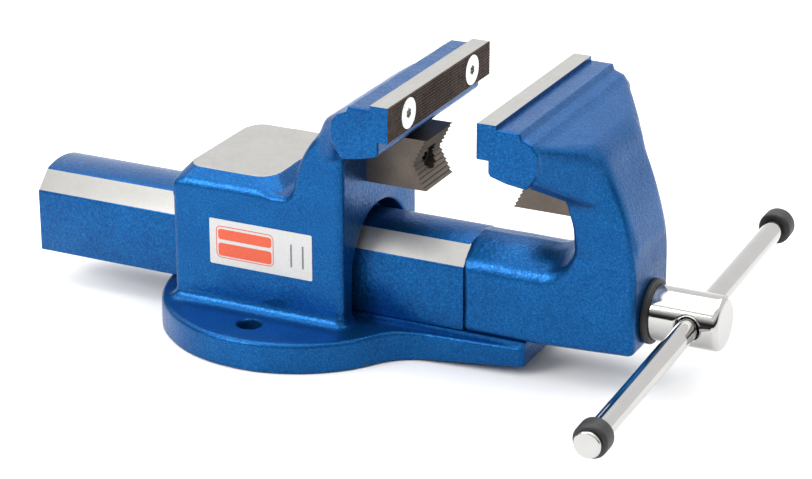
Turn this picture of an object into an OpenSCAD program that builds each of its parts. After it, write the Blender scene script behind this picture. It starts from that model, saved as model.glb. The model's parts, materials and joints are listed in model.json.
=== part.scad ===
// Engineer's bench vise with a prismatic slide, replaceable jaw plates, pipe jaws and a sliding tommy bar.
// Millimetres. X runs along the spindle towards the handle, Z is up, and the origin lies on the bench
// face, midway between the two bench bolts. The vise is symmetric about Y = 0.

/* [Jaws] */
// Width of both jaws
jaw_w = 125; // [100:1:150]
// Gap between the jaw plates as the vise is stored; its travel either way is whole half turns of the screw
opening = 47.5; // [10:2.5:120]
// Widest gap between the jaw plates
opening_max = 150; // [130:1:160]
// Distance from the bench bolts to the clamping face of the fixed jaw
jaw_x = 84; // [80:1:100]
// Height of the top of the jaws above the bench
jaw_top = 151; // [145:1:185]
// Height of a jaw plate
plate_h = 19; // [16:1:23]
// Thickness of a jaw plate
plate_t = 11; // [9:0.5:13]
// Distance between the two screws of a jaw plate
plate_screw_span = 78; // [60:1:90]
// Depth of the cast ledge behind a jaw plate
ledge_d = 12.7; // [10:0.1:16]
// How far that ledge lies below the top of the plate
ledge_drop = 2.2; // [1:0.1:4]

/* [Body] */
// Width of the fixed body and its neck
body_w = 92; // [80:1:110]
// Length of the body along the slide
body_l = 103; // [92:1:120]
// Height of the side walls above the bench
wall_top = 86; // [83:1:92]
// How far the anvil stands above the side walls
anvil_rise = 6; // [4:0.5:9]
// Width of the flat of the anvil
anvil_w = 76; // [60:1:90]
// Length of the flat of the anvil
anvil_l = 52; // [40:1:60]
// Depth of the fixed jaw's overhang in front of the neck
jaw_reach = 36; // [32:1:40]

/* [Base] */
// Thickness of the base flange
flange_t = 17; // [13:0.5:20]
// Radius of the two lobes of the flange
lobe_r = 76.5; // [70:0.5:90]
// Distance of each lobe's centre from the middle plane
lobe_y = 6; // [2:0.5:12]
// Distance between the two bench bolts
bolt_span = 122; // [110:1:130]
// Diameter of the holes for the bench bolts
bolt_hole_d = 13; // [9:0.5:16]
// Half the width of the tongue at its front
tongue_half = 26.5; // [25:0.5:31]
// Length of the tongue in front of the bench bolts
tongue_l = 144; // [125:1:160]
// Radius of the hollow where flange and tongue meet
hollow_r = 30; // [20:1:40]
// Height of the tongue's underside above the bench
tongue_lift = 5.6; // [2:0.1:8]

/* [Slide] */
// Width of the slide
slide_w = 49.4; // [44:0.2:54]
// Height of the slide from its underside to its crown
slide_h = 48.4; // [46:0.2:50]
// Length of the slide behind the fixed jaw's clamping face as the vise is stored
slide_tail = 239; // [230:1:260]
// Width of the machined band across each upper corner
band_w = 10.4; // [8:0.2:12]
// Wall on each side of the channel under the slide
channel_wall = 8.4; // [7:0.2:8.6]
// Play between the slide and its guides
slide_play = 0.25; // [0.15:0.05:0.5]

/* [Moving jaw] */
// Depth of the moving jaw's neck along the slide
neck_d = 34; // [30:1:40]
// Height of the pipe jaws
pipe_h = 28; // [24:0.5:29]
// Width of the pipe jaws
pipe_w = 33; // [28:0.5:38]
// Depth of the V notch in a pipe jaw
pipe_v = 7; // [5:0.5:9]

/* [Spindle] */
// Height of the spindle's axis above the bench
axis_z = 39.3; // [38.4:0.1:39.8]
// Outer diameter of the spindle thread
thread_d = 22; // [18:0.5:23.5]
// Diameter of the spindle head
head_d = 29.4; // [28:0.2:34]
// Length of the spindle head
head_l = 38; // [34:1:44]
// Length of the nut
nut_l = 30; // [24:1:36]

/* [Tommy bar] */
// Diameter of the bar
bar_d = 12; // [10:0.5:13]
// Length of the bar between its end caps
bar_l = 280; // [230:0.5:320]
// How far the bar is pushed through towards the near side
bar_shift = 5.5; // [0:0.5:40]
// Tilt of the bar from level, in degrees
bar_tilt = 2.5; // [0:0.5:6]
// Outer diameter of the rubber rings
ring_d = 18.2; // [16:0.1:24]

/* [Hidden] */
$fn = 96;
e = 0.5;                        // overrun of a cut past the face it opens
fit = 0.05;                     // radial clearance of a running fit
body_x1 = jaw_x - jaw_reach;    // front face of the body and neck
body_x0 = body_x1 - body_l;     // rear face of the body
lobe_x = 2;                     // centre of the flange lobes
slide_z0 = flange_t + 2.2;      // underside of the slide
slide_z1 = slide_z0 + slide_h;  // crown of the slide
pad_z = slide_z0 - 0.2;         // top of the pad that the slide runs over
face_x = jaw_x + opening;       // clamping face of the moving jaw
slide_x0 = jaw_x - slide_tail;
band_z = slide_z1 - 2.4;        // upper edge of the machined bands
band_y = slide_w / 2 - band_w;
channel_half = slide_w / 2 - channel_wall;
channel_top = slide_z1 - 11;
throat_x = face_x + 38.5;       // back of the moving jaw's throat
front_x = throat_x + neck_d;    // front face of the moving jaw
plate_z = jaw_top - plate_h / 2;
head_z0 = jaw_top - 31.5;       // lowest edge of both jaw heads
pipe_z = head_z0 - 0.7 - pipe_h / 2;
pipe_l = jaw_reach - 1;         // depth of a pipe jaw, with its tips 1 mm behind the plates
nut_x = body_x1 - nut_l - 8;    // rear end of the nut
nut_room = channel_half - thread_d / 2;  // between the thread and the wall of the channel
nut_r = thread_d / 2 + 0.849 * nut_room;
collar_t = 3.8;                 // black collar around the root of the spindle head
collar_d = head_d + 5.2;
washer_t = 3;
head_x0 = front_x + washer_t;
head_x1 = head_x0 + head_l;
bar_x = head_x1 - 16;
tail_x = nut_x - (opening_max - opening) - 6;  // rear end of the spindle thread
washer_d = head_d - 0.4;            // thrust washer between the head and the jaw
bush_r = washer_d / 2;              // the washer bears on the whole end of the bush
wall_in = front_x - 22;         // inside of the moving jaw's front wall
retainer_t = 10;                // collar that keeps the spindle in the moving jaw
retainer_r = thread_d / 2 + 0.755 * nut_room;
pin_sink = 0.25 * (retainer_r - thread_d / 2);
retainer_x = wall_in - retainer_t - 0.3;
pin_d = 5;                      // pin through that collar
pin_x = retainer_x + retainer_t / 2;
screw_head_d = 16.5;            // heads of the jaw plate screws
screw_d = 8;                    // shanks of all the jaw screws, and of the nut and guide screws
screw_hole_d = 8.2;             // in what a screw is threaded into
pipe_seat = 18;                 // depth of the pipe jaw screws' heads behind the clamping face
screw_clear_d = 8.6;            // in what it clamps
cap_screw_d = 13;               // heads of the pipe jaw screws and the nut screws
cap_screw_l = 8;
socket_d = 7;                   // hexagon sockets in those heads
ring_l = 11;
cap_d = 14;
cap_l = 3.2;
gib_l = 44;
gib_t = 5;
gib_x = body_x0 + 4;
blue = [0.13, 0.40, 0.70];
chrome = [0.82, 0.82, 0.83];
rubber = [0.06, 0.06, 0.06];

// centre of the hollow that joins a lobe to the tapered tongue side
taper = 0.08;                   // sideways slope of the tongue's sides
lobe_gap = lobe_r + hollow_r - 0.05;
reach_a = tongue_half + (tongue_l - lobe_x) * taper + hollow_r * sqrt(1 + taper * taper) - lobe_y;
hollow_u = (reach_a * taper + sqrt(pow(reach_a * taper, 2)
    - (1 + taper * taper) * (reach_a * reach_a - lobe_gap * lobe_gap))) / (1 + taper * taper);
hollow_x = lobe_x + hollow_u;
hollow_y = reach_a - taper * hollow_u + lobe_y;

// ---- helpers ----

// stands a profile drawn in X and Z up and extrudes it across Y, centred
module across(w) { rotate([90, 0, 0]) linear_extrude(w, center = true) children(); }

// lays a profile drawn in Y and Z along X, from x0 over a length l
module along(x0, l) { translate([x0, 0, 0]) rotate([90, 0, 90]) linear_extrude(l) children(); }

// cylinder along +X from a point
module rod(x, y, z, d, l) { translate([x, y, z]) rotate([0, 90, 0]) cylinder(d = d, h = l); }

module both_sides() {
    children();
    mirror([0, 1, 0]) children();
}

// turns a part drawn for the fixed jaw, with its face at X = 0, to face it from the other side
module facing() { translate([face_x, 0, 0]) mirror([1, 0, 0]) children(); }

// cross-section of the slide, grown by g on every face
module slide_profile(g = 0) {
    corner_z = band_z - band_w;
    polygon([[-slide_w / 2 - g, slide_z0 - g], [slide_w / 2 + g, slide_z0 - g],
        [slide_w / 2 + g, corner_z + g / 2], [band_y + g / 2, band_z + g],
        [0, slide_z1 + g], [-band_y - g / 2, band_z + g], [-slide_w / 2 - g, corner_z + g / 2]]);
}

// jaw head in X and Z with its clamping face at X = 0; the plate overhangs its lower front by chin
module head_profile() {
    back = plate_t + ledge_d;
    chin = 6.7;
    seat_z = jaw_top - plate_h;
    polygon([[-plate_t, seat_z], [-plate_t, jaw_top - ledge_drop], [-back, jaw_top - ledge_drop],
        [-back - 1.2, jaw_top - 5.5], [-back - 6.5, jaw_top - 8], [-back - 10, jaw_top - 12.5],
        [-back - 10.5, jaw_top - 17], [-back - 9, jaw_top - 24], [-back - 3.8, head_z0],
        [-plate_t - 5, head_z0 + 1.6], [-chin - 1.3, head_z0 + 3.9], [-chin, head_z0 + 5.7],
        [-chin, seat_z]]);
}

// ---- parts that both jaws have; drawn for the fixed jaw with the clamping face at X = 0 ----

module plate_screw_axes() {
    for (s = [-1, 1]) translate([0, s * plate_screw_span / 2, plate_z]) rotate([0, -90, 0]) children();
}

module jaw_plate() color([0.20, 0.16, 0.14]) difference() {
    translate([-plate_t, -jaw_w / 2, jaw_top - plate_h]) cube([plate_t, jaw_w, plate_h]);
    plate_screw_axes() {
        translate([0, 0, -e]) cylinder(d = screw_head_d + 0.6, h = e + 1);
        translate([0, 0, 0.999]) cylinder(d1 = screw_head_d + 0.6, d2 = screw_clear_d, h = 4);
        cylinder(d = screw_clear_d, h = plate_t + e);
    }
}

// countersunk screws with six-lobe sockets
module plate_screws() color(chrome) plate_screw_axes() difference() {
    union() {
        translate([0, 0, 0.3]) cylinder(d = screw_head_d, h = 0.8);
        translate([0, 0, 1.1]) cylinder(d1 = screw_head_d, d2 = screw_d, h = 3.7);
        translate([0, 0, 4.5]) cylinder(d = screw_d, h = 21);
    }
    translate([0, 0, -e]) linear_extrude(4)
        for (k = [0:60:300]) rotate(k) translate([1.75, 0]) circle(r = 1.05);
    translate([0, 0, -e]) cylinder(r = 2, h = e + 3.5);
}

// block with a serrated V that holds round stock across its width
module pipe_jaw() color([0.42, 0.38, 0.34]) difference() {
    teeth = 6;
    pitch = pipe_h / (2 * teeth);
    across(pipe_w) difference() {
        translate([-jaw_reach, pipe_z - pipe_h / 2]) square([pipe_l, pipe_h]);
        polygon([[-1 + e, pipe_z - pipe_h / 2 - e], [-1, pipe_z - pipe_h / 2], [-1 - pipe_v, pipe_z],
            [-1, pipe_z + pipe_h / 2], [-1 + e, pipe_z + pipe_h / 2 + e]]);
        for (s = [-1, 1], k = [1:teeth - 1])
            translate([-1 - pipe_v * (1 - k / teeth), pipe_z + s * k * pitch]) rotate(45)
                square(0.9, center = true);
    }
    rod(-jaw_reach - e, 0, pipe_z, screw_clear_d, jaw_reach);
    rod(-pipe_seat, 0, pipe_z, cap_screw_d + 0.6, pipe_seat + 2);
}

module pipe_jaw_screw() color([0.15, 0.15, 0.16]) difference() {
    union() {
        rod(-jaw_reach - 15, 0, pipe_z, screw_d, jaw_reach);
        rod(-pipe_seat, 0, pipe_z, cap_screw_d, cap_screw_l);
    }
    translate([3 - pipe_seat, 0, pipe_z]) rotate([0, 90, 0]) rotate(30)
        cylinder(d = socket_d, h = cap_screw_l + 1, $fn = 6);
}

// screw holes in the casting behind the plate and the pipe jaw, and the milled seat of the pipe jaw
module jaw_holes() {
    seat_w = pipe_w + 0.6;
    seat_h = pipe_h + 0.6;
    plate_screw_axes() translate([0, 0, plate_t - 1]) cylinder(d = screw_hole_d, h = 16);
    rod(-jaw_reach - 17, 0, pipe_z, screw_hole_d, 18);
    translate([-jaw_reach, -seat_w / 2, pipe_z - seat_h / 2]) cube([jaw_reach, seat_w, seat_h]);
}

// ---- fixed body ----

module base_plan() {
    root_half = tongue_half + (tongue_l - lobe_x) * taper;
    for (s = [-1, 1]) translate([lobe_x, s * lobe_y]) circle(r = lobe_r, $fn = 180);
    translate([lobe_x - lobe_r, -lobe_y]) square([2 * lobe_r, 2 * lobe_y]);
    polygon([[lobe_x, -root_half], [tongue_l, -tongue_half], [tongue_l, tongue_half], [lobe_x, root_half]]);
    both_sides() difference() {
        polygon([[lobe_x, 0], [lobe_x, lobe_y], [hollow_x, hollow_y], [hollow_x + 2, tongue_half],
            [hollow_x, 0]]);
        translate([hollow_x, hollow_y]) circle(r = hollow_r);
    }
}

// the tongue rises a little off the bench towards its front
module tongue_relief() {
    slope_l = 70;
    across(2 * lobe_r) polygon([[tongue_l + e, -e], [tongue_l + e, tongue_lift],
        [tongue_l, tongue_lift], [tongue_l - slope_l, 0], [tongue_l - slope_l, -e]]);
}

module anvil() hull() {
    side = (body_w - anvil_w) / 2;
    translate([body_x0, -body_w / 2, wall_top - 1]) cube([anvil_l + side + 4, body_w, 1]);
    translate([body_x0 + 5, -anvil_w / 2, wall_top + anvil_rise - 1]) cube([anvil_l, anvil_w, 1]);
}

// neck between the body and the head: a round shoulder at its back, then straight on to the ledge
module neck() {
    shoulder_r = 54;
    foot_x = body_x1 - 29.5;
    ledge_x = jaw_x - plate_t - ledge_d;
    top_x = ledge_x - 4.4;
    top_z = jaw_top - ledge_drop - 3;
    // where the straight line leaves the shoulder
    over_x = top_x - foot_x - shoulder_r;
    over_z = top_z - wall_top;
    lean = atan2(over_x, over_z) + asin(shoulder_r / norm([over_x, over_z]));
    bend_x = foot_x + shoulder_r * (1 - cos(lean));
    bend_z = wall_top + shoulder_r * sin(lean);
    across(body_w) {
        intersection() {
            translate([foot_x + shoulder_r, wall_top]) circle(r = shoulder_r, $fn = 180);
            translate([foot_x, wall_top - 1]) square([body_x1 - foot_x, bend_z - wall_top + 1]);
        }
        polygon([[bend_x, wall_top - 1], [bend_x, bend_z], [top_x, top_z], [ledge_x + 1, top_z],
            [ledge_x + 1, head_z0 + 4], [body_x1, head_z0 - 2], [body_x1, wall_top - 1]]);
    }
}

// web that spreads the neck out to the full width of the head
module fixed_web() hull() {
    translate([body_x1, -jaw_w / 2 + 1, head_z0 + 4]) cube([6, jaw_w - 2, 16]);
    translate([body_x1 - 14, -body_w / 2, head_z0 - 10]) cube([14, body_w, 22]);
}

// passage for the slide: a guide land at each end, a cored space between them, an open arch in front
module slide_passage() {
    land = 20;
    arch_d = 14;
    arch_half = 33.5;
    arch_top = slide_z1 + 6;
    along(body_x0 - e, body_l + 2 * e) slide_profile(slide_play);
    translate([body_x0 + land, 9 - body_w / 2, slide_z0])
        cube([body_l - 2 * land - arch_d, body_w - 18, slide_z1 + 7 - slide_z0]);
    along(body_x1 - arch_d, arch_d + e) {
        translate([-arch_half, flange_t]) square([2 * arch_half, arch_top - arch_half - flange_t]);
        intersection() {
            translate([0, arch_top - arch_half]) circle(r = arch_half);
            translate([-arch_half, slide_z0]) square([2 * arch_half, arch_top]);
        }
    }
}

module nut_screw_places() {
    for (s = [-1, 1]) translate([nut_x + nut_l / 2 + s * 8, 0, 0]) children();
}

module gib_screw_places() {
    for (s = [-1, 1]) translate([gib_x + gib_l / 2 + s * 12, 0, 0]) children();
}

module fixed_casting() {
    difference() {
        union() {
            linear_extrude(flange_t) base_plan();
            along(body_x0, body_l) translate([-body_w / 2, 1]) square([body_w, wall_top - 1]);
            anvil();
            neck();
            translate([jaw_x, 0, 0]) across(jaw_w) head_profile();
            fixed_web();
        }
        slide_passage();
    }
    translate([body_x0, -slide_w / 2, 1]) cube([tongue_l - body_x0, slide_w, pad_z - 1]);
}

module fixed_body() color(blue) difference() {
    fixed_casting();
    tongue_relief();
    for (s = [-1, 1]) translate([0, s * bolt_span / 2, -e]) cylinder(d = bolt_hole_d, h = flange_t + 2 * e);
    translate([jaw_x, 0, 0]) jaw_holes();
    nut_screw_places() translate([0, 0, -e]) {
        cylinder(d = screw_clear_d, h = pad_z + 2 * e);
        cylinder(d = cap_screw_d + 1.5, h = cap_screw_l + 1 + e);
    }
    gib_screw_places() translate([0, 0, -e]) cylinder(d = screw_hole_d, h = pad_z);
    translate([gib_x - 0.3, -slide_w / 2 + 1.7, pad_z - gib_t])
        cube([gib_l + 0.6, slide_w - 3.4, gib_t + 1]);
}

module fixed_jaw_plate() translate([jaw_x, 0, 0]) jaw_plate();
module fixed_plate_screws() translate([jaw_x, 0, 0]) plate_screws();
module fixed_pipe_jaw() translate([jaw_x, 0, 0]) pipe_jaw();
module fixed_pipe_jaw_screw() translate([jaw_x, 0, 0]) pipe_jaw_screw();

// nut bolted to the floor of the body, inside the channel of the slide
module spindle_nut() color([0.62, 0.48, 0.24]) difference() {
    along(nut_x, nut_l) {
        translate([0, axis_z]) circle(r = nut_r);
        translate([-nut_r, pad_z]) square([2 * nut_r, axis_z - pad_z]);
    }
    rod(nut_x - e, 0, axis_z, thread_d + 2 * fit, nut_l + 2 * e);
    nut_screw_places() translate([0, 0, pad_z - e]) cylinder(d = screw_hole_d, h = 7.5 + e);
}

module nut_screws() color([0.15, 0.15, 0.16]) nut_screw_places() difference() {
    union() {
        translate([0, 0, 1]) cylinder(d = cap_screw_d, h = cap_screw_l);
        cylinder_up(screw_d, cap_screw_l + 1, pad_z + 6.5);
    }
    translate([0, 0, 1 - e]) rotate(30) cylinder(d = socket_d, h = 4.5 + e, $fn = 6);
}

// upright cylinder between two heights
module cylinder_up(d, z0, z1) { translate([0, 0, z0 - 0.5]) cylinder(d = d, h = z1 - z0 + 0.5); }

// flat bar under the slide that takes up its play
module guide_gib() color([0.55, 0.55, 0.55])
    translate([gib_x, -slide_w / 2 + 2, pad_z - gib_t + 0.02]) cube([gib_l, slide_w - 4, gib_t]);

module gib_screws() color([0.15, 0.15, 0.16]) gib_screw_places() difference() {
    translate([0, 0, 3]) cylinder(d = screw_d, h = pad_z - gib_t - 3);
    translate([0, 0, 3 - e]) rotate(30) cylinder(d = 4.6, h = 4 + e, $fn = 6);
}

module side_label() color([0.92, 0.92, 0.90]) {
    label_l = 62;
    label_h = 26;
    translate([body_x0 + 23.4, -body_w / 2 - 0.3, 41.3]) cube([label_l, 0.3, label_h]);
}

// ---- moving jaw ----

// side of the neck in X and Z: straight front, leaning back above the web
module moving_neck() {
    throat_r = throat_x - face_x - 18.5;
    across(slide_w) difference() {
        polygon([[face_x + 18.5, slide_z1 - 8], [front_x - 40, slide_z0], [front_x - 3, slide_z0],
            [front_x, slide_z0 + 3], [front_x, head_z0 - 28], [front_x - 6, head_z0 - 13],
            [front_x - 19, head_z0 + 10], [face_x + 26, head_z0 + 20], [face_x + 14, head_z0 + 6]]);
        translate([throat_x - throat_r, slide_z1 + throat_r - 1]) circle(r = throat_r);
        translate([face_x - 1, slide_z1 - 1]) square([throat_x - throat_r - face_x + 1, 2 * throat_r]);
    }
    translate([face_x + jaw_reach, -pipe_w / 2 - 1, pipe_z - pipe_h / 2 - 1])
        cube([8, pipe_w + 2, pipe_h + 2]);
}

// webs that spread the neck out to the full width of the head
module moving_web() {
    back_x = face_x + plate_t + ledge_d;
    hull() {
        translate([back_x, -jaw_w / 2 + 1, head_z0 + 2]) cube([9, jaw_w - 2, 16]);
        translate([back_x, -jaw_w / 2 + 1, head_z0 + 18]) cube([1, jaw_w - 2, 6]);
        translate([back_x + 26, -slide_w / 2 - 2, head_z0 - 14]) cube([6, slide_w + 4, 22]);
    }
    hull() {
        translate([back_x + 16, -slide_w / 2 - 6, head_z0 - 8]) cube([12, slide_w + 12, 20]);
        translate([throat_x + 6, -slide_w / 2, head_z0 - 40]) cube([front_x - throat_x - 8, slide_w, 10]);
        translate([front_x - 14, -slide_w / 2, head_z0 - 18]) cube([6, slide_w, 4]);
    }
}

// the sole under the neck rises a little towards the front
module sole_wedge() {
    rise = 2.6;
    across(2 * slide_w) polygon([[face_x + 20, slide_z0 - 2], [face_x + 20, slide_z0],
        [front_x + 1, slide_z0 + rise], [front_x + 1, slide_z0 - 2]]);
}

module moving_casting() {
    root_x = face_x - 23.5;
    along(slide_x0, front_x - 1 - slide_x0) slide_profile();
    along(root_x, front_x - 3 - root_x) difference() {
        slide_profile(0.9);
        translate([-slide_w, slide_z0 - 5]) square([2 * slide_w, 5]);
    }
    moving_neck();
    moving_web();
    facing() across(jaw_w) head_profile();
}

module moving_jaw() color(blue) difference() {
    moving_casting();
    sole_wedge();
    along(slide_x0 - e, wall_in - slide_x0 + e)
        translate([-channel_half, slide_z0 - e]) square([2 * channel_half, channel_top - slide_z0 + e]);
    rod(wall_in - e, 0, axis_z, 2 * bush_r + 0.04, front_x - wall_in + 2 * e);
    facing() jaw_holes();
}

module moving_jaw_plate() facing() jaw_plate();
module moving_plate_screws() facing() plate_screws();
module moving_pipe_jaw() facing() pipe_jaw();
module moving_pipe_jaw_screw() facing() pipe_jaw_screw();

module front_bush() color([0.70, 0.52, 0.25]) difference() {
    rod(wall_in, 0, axis_z, 2 * bush_r, front_x - wall_in);
    rod(wall_in - e, 0, axis_z, thread_d + 2 * fit, front_x - wall_in + 2 * e);
}

// ---- spindle ----

// places what lies across the spindle head along the tilted bar, whose own axis is Z here
module bar_axis() { translate([bar_x, 0, axis_z]) rotate([bar_tilt - 90, 0, 0]) children(); }

// places the pin that runs through the retaining collar and the spindle
module pin_place() { translate([pin_x, 0, axis_z]) rotate([90, 0, 0]) children(); }

module spindle() color(chrome) difference() {
    turned = 3;
    translate([0, 0, axis_z]) rotate([0, 90, 0]) rotate_extrude() polygon([[0, tail_x],
        [thread_d / 2 - 2, tail_x], [thread_d / 2, tail_x + 2], [thread_d / 2, head_x0],
        [head_d / 2 - 1, head_x0], [head_d / 2, head_x0 + 1], [head_d / 2, head_x1 - turned],
        [head_d / 2 - turned, head_x1], [0, head_x1]]);
    bar_axis() cylinder(d = bar_d + 2 * fit, h = head_d + 4, center = true);
    pin_place() cylinder(d = pin_d + 0.04, h = thread_d + 2, center = true);
}

module thrust_washer() color(chrome) difference() {
    rod(front_x + 0.02, 0, axis_z, washer_d, washer_t - 0.04);
    rod(front_x - e, 0, axis_z, thread_d + 0.4, washer_t + 2 * e);
}

// black collar that keeps chips out of the thrust washer
module front_collar() color(rubber) translate([front_x, 0, axis_z]) rotate([0, 90, 0]) rotate_extrude() {
    inner = head_d / 2 + 0.1;
    outer = collar_d / 2;
    polygon([[inner, 0.1], [outer, 0.1], [outer, collar_t - 1.5], [outer - 1.5, collar_t],
        [inner, collar_t]]);
}

module retaining_collar() color([0.45, 0.45, 0.46]) difference() {
    rod(retainer_x, 0, axis_z, 2 * retainer_r, retainer_t);
    rod(retainer_x - e, 0, axis_z, thread_d + 0.1, retainer_t + 2 * e);
    pin_place() cylinder(d = pin_d + 0.04, h = 2 * retainer_r + 2, center = true);
}

module collar_pin() color([0.45, 0.45, 0.46])
    pin_place() cylinder(d = pin_d, h = 2 * (retainer_r - pin_sink), center = true);

// ---- tommy bar; its axis is Z here, with the far side up ----

module on_bar(end) {
    bar_axis() translate([0, 0, -bar_shift]) mirror([0, 0, end < 0 ? 1 : 0])
        translate([0, 0, bar_l / 2]) children();
}

module tommy_bar() color(chrome) bar_axis() translate([0, 0, -bar_shift]) difference() {
    cylinder(d = bar_d, h = bar_l, center = true);
    for (s = [0, 1]) mirror([0, 0, s]) translate([0, 0, bar_l / 2 - 14]) cylinder(d = 6.04, h = 15);
}

module end_cap() color(chrome) rotate_extrude() polygon([[0, -12], [3, -12], [3, 0], [cap_d / 2, 0],
    [cap_d / 2, cap_l - 1], [cap_d / 2 - 1, cap_l], [0, cap_l]]);

module rubber_ring() color(rubber) rotate_extrude() translate([bar_d / 2 + 0.02, -ring_l]) {
    wall = (ring_d - bar_d) / 2;
    polygon([[0, 0], [wall - 2, 0], [wall, 2], [wall, ring_l - 2], [wall - 2, ring_l - 0.02],
        [0, ring_l - 0.02]]);
}

module end_cap_near() on_bar(-1) end_cap();
module end_cap_far() on_bar(1) end_cap();
module rubber_ring_near() on_bar(-1) rubber_ring();
module rubber_ring_far() on_bar(1) rubber_ring();

fixed_body();
fixed_jaw_plate();
fixed_plate_screws();
fixed_pipe_jaw();
fixed_pipe_jaw_screw();
spindle_nut();
nut_screws();
guide_gib();
gib_screws();
side_label();
moving_jaw();
moving_jaw_plate();
moving_plate_screws();
moving_pipe_jaw();
moving_pipe_jaw_screw();
front_bush();
spindle();
thrust_washer();
front_collar();
retaining_collar();
collar_pin();
tommy_bar();
end_cap_near();
end_cap_far();
rubber_ring_near();
rubber_ring_far();
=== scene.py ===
"""Bench vise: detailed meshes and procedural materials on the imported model. Sizes are in millimetres."""
import json
import math

import bmesh
import bpy
import numpy as np
from mathutils import Matrix, Vector


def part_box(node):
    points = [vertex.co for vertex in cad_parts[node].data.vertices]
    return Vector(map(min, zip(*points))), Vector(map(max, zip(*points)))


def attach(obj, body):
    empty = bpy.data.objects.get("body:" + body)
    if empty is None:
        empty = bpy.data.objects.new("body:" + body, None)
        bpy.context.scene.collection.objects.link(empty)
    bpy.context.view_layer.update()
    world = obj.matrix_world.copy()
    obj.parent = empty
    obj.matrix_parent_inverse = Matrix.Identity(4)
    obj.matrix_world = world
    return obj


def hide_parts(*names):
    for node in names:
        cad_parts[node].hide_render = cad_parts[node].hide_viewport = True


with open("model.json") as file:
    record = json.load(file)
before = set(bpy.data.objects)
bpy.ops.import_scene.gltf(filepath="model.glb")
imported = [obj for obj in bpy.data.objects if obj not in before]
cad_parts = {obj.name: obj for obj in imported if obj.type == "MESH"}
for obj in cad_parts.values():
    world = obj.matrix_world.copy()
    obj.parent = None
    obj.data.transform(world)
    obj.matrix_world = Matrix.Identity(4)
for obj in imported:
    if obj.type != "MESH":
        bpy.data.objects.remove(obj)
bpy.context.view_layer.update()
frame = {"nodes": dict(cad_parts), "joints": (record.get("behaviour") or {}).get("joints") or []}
MM = 0.001


def box_mm(node):
    low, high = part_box(node)
    return np.array(low) / MM, np.array(high) / MM


# ---- sizes taken from the frame ----

PLATE_LO, PLATE_HI = box_mm("fixed_jaw_plate")
JAW_X, JAW_TOP, JAW_HALF = PLATE_HI[0], PLATE_HI[2], PLATE_HI[1]
PLATE_T, PLATE_H = PLATE_HI[0] - PLATE_LO[0], PLATE_HI[2] - PLATE_LO[2]
FACE_X = box_mm("moving_jaw_plate")[0][0]       # clamping face of the moving jaw
BODY_LO, BODY_HI = box_mm("fixed_body")
SLIDE_LO, SLIDE_HI = box_mm("moving_jaw")
SLIDE_X0, FRONT_X, SLIDE_Z0 = SLIDE_LO[0], SLIDE_HI[0], SLIDE_LO[2]
PIPE_LO, PIPE_HI = box_mm("fixed_pipe_jaw")
BUSH_LO, BUSH_HI = box_mm("front_bush")
AXIS_Z = (BUSH_LO[2] + BUSH_HI[2]) / 2
WALL_IN, BUSH_R = BUSH_LO[0], (BUSH_HI[2] - BUSH_LO[2]) / 2
SPINDLE_LO, SPINDLE_HI = box_mm("spindle")
HEAD_R = (SPINDLE_HI[2] - SPINDLE_LO[2]) / 2
COLLAR_LO, COLLAR_HI = box_mm("front_collar")
LABEL_LO, LABEL_HI = box_mm("side_label")

# ---- the casting's own sizes ----

HEAD_Z0 = JAW_TOP - 31.5      # lowest edge of both jaw heads
LEDGE = 12.7                  # ledge behind each plate
LEDGE_DROP = 2.2
REACH = 36                    # fixed jaw's overhang
BODY_X1 = JAW_X - REACH
BODY_X0 = BODY_X1 - 103
BODY_HALF = 46
WALL_TOP = 86
ANVIL_TOP = 92
ANVIL_HALF = 38
ANVIL_L = 52
FLANGE_T = 17
LOBE_X, LOBE_Y, LOBE_R = 2, 6, 76.5
TONGUE_HALF, TONGUE_L, TAPER = 26.5, 144, 0.08
TONGUE_LIFT = 5.6
HOLLOW_R = 30
BOLT_Y, BOLT_R = 61, 6.5
SLIDE_HALF = 24.7
SLIDE_Z1 = SLIDE_Z0 + 48.4
BAND_W = 10.4
BAND_Z = SLIDE_Z1 - 2.4
BAND_Y = SLIDE_HALF - BAND_W
CHANNEL_HALF = 16.3
CHANNEL_TOP = SLIDE_Z1 - 11
ROOT_X = FACE_X - 23.5        # where the cast root of the slide begins
ROOT_PROUD = 0.9              # how far the root's crown stands above the machined slide
SIDE_STEP = 0.15              # the same on its sides
THROAT_X = FRONT_X - 34
PLAY = 0.25
SEAT_LAP = 1.2                # how far the castings reach into the jaw plates, so that no gap shows
PLATE_SCREW_Y = 39            # plate screws' distance from the middle
GROUND_SKIN = 0.12            # depth under the anvil's face that still counts as ground steel


# ---- distance fields: negative inside, one unit per millimetre ----

def both(a, b, r=0.0):
    """Intersection of two shapes, with the edge between them rounded to r."""
    if r == 0:
        return np.maximum(a, b)
    round_off = np.hypot(np.maximum(a + r, 0), np.maximum(b + r, 0))
    return np.minimum(-r, np.maximum(a, b)) + round_off


def either(a, b, r=0.0):
    """Union of two shapes, with a fillet of r where they meet."""
    return -both(-a, -b, r)


def without(a, b, r=0.0):
    return both(a, -b, r)


def convex(u, v, points, r=0.0):
    """Convex outline, its points anticlockwise, with corners rounded to r."""
    d = None
    for (u0, v0), (u1, v1) in zip(points, points[1:] + points[:1]):
        side = ((u - u0) * (v1 - v0) - (v - v0) * (u1 - u0)) / math.hypot(u1 - u0, v1 - v0)
        d = side if d is None else both(d, side, r)
    return d


def inset(points, r):
    """The same anticlockwise outline with each edge moved inwards by r."""
    moved = []
    for i, corner in enumerate(points):
        before, after = np.subtract(corner, points[i - 1]), np.subtract(points[(i + 1) % len(points)], corner)
        n0 = np.array([-before[1], before[0]]) / np.hypot(*before)
        n1 = np.array([-after[1], after[0]]) / np.hypot(*after)
        moved.append(tuple(np.array(corner) + (n0 + n1) * r / (1 + n0 @ n1)))
    return moved


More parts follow.
